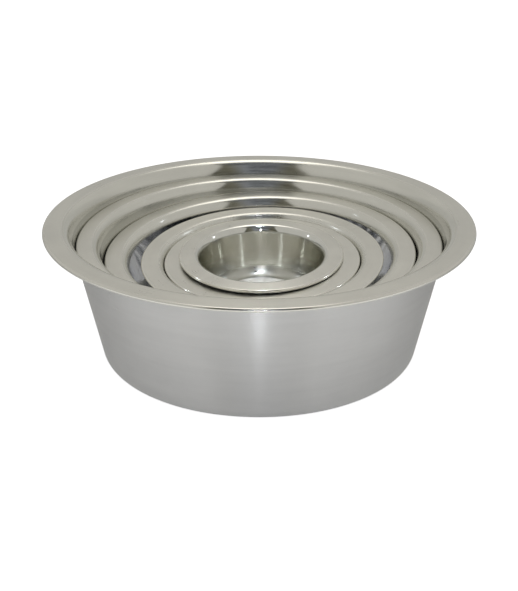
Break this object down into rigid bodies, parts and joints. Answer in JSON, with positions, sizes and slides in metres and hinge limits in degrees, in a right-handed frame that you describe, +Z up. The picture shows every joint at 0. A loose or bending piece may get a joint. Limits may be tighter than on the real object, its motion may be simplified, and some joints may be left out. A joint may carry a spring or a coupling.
{
  "type": "nest of wash bowls",
  "caption": "Nest of round stainless steel wash and solution bowls with wide rolled rims, each one loose in the next.",
  "frame": {"origin": "centre of the largest bowl's underside, on the surface it stands on", "axes": "+Z up along the largest bowl's axis; -Y is the front, where the loose bowls sit slightly lower"},
  "size_m": [0.34, 0.3398, 0.111],
  "materials": {
    "polished_steel": "spun and polished stainless steel, satin outside and on the rims, brighter inside"
  },
  "bodies": {
    "bowl_1_largest": {"bowl_1_largest": "polished_steel"},
    "bowl_2": {"bowl_2": "polished_steel"},
    "bowl_3": {"bowl_3": "polished_steel"},
    "bowl_4": {"bowl_4": "polished_steel"},
    "bowl_5": {"bowl_5": "polished_steel"},
    "bowl_6_smallest": {"bowl_6_smallest": "polished_steel"}
  },
  "joints": [
    {"name": "bowl_2_lift", "type": "slide", "parent": "bowl_1_largest", "child": "bowl_2", "axis": [0, 0, 1], "range_m": [0, 0.12]},
    {"name": "bowl_3_lift", "type": "slide", "parent": "bowl_2", "child": "bowl_3", "axis": [0, 0, 1], "range_m": [0, 0.11]},
    {"name": "bowl_4_lift", "type": "slide", "parent": "bowl_3", "child": "bowl_4", "axis": [0, 0, 1], "range_m": [0, 0.1]},
    {"name": "bowl_5_lift", "type": "slide", "parent": "bowl_4", "child": "bowl_5", "axis": [0, 0, 1], "range_m": [0, 0.08]},
    {"name": "bowl_6_lift", "type": "slide", "parent": "bowl_5", "child": "bowl_6_smallest", "axis": [0, 0, 1], "range_m": [0, 0.065]}
  ]
}
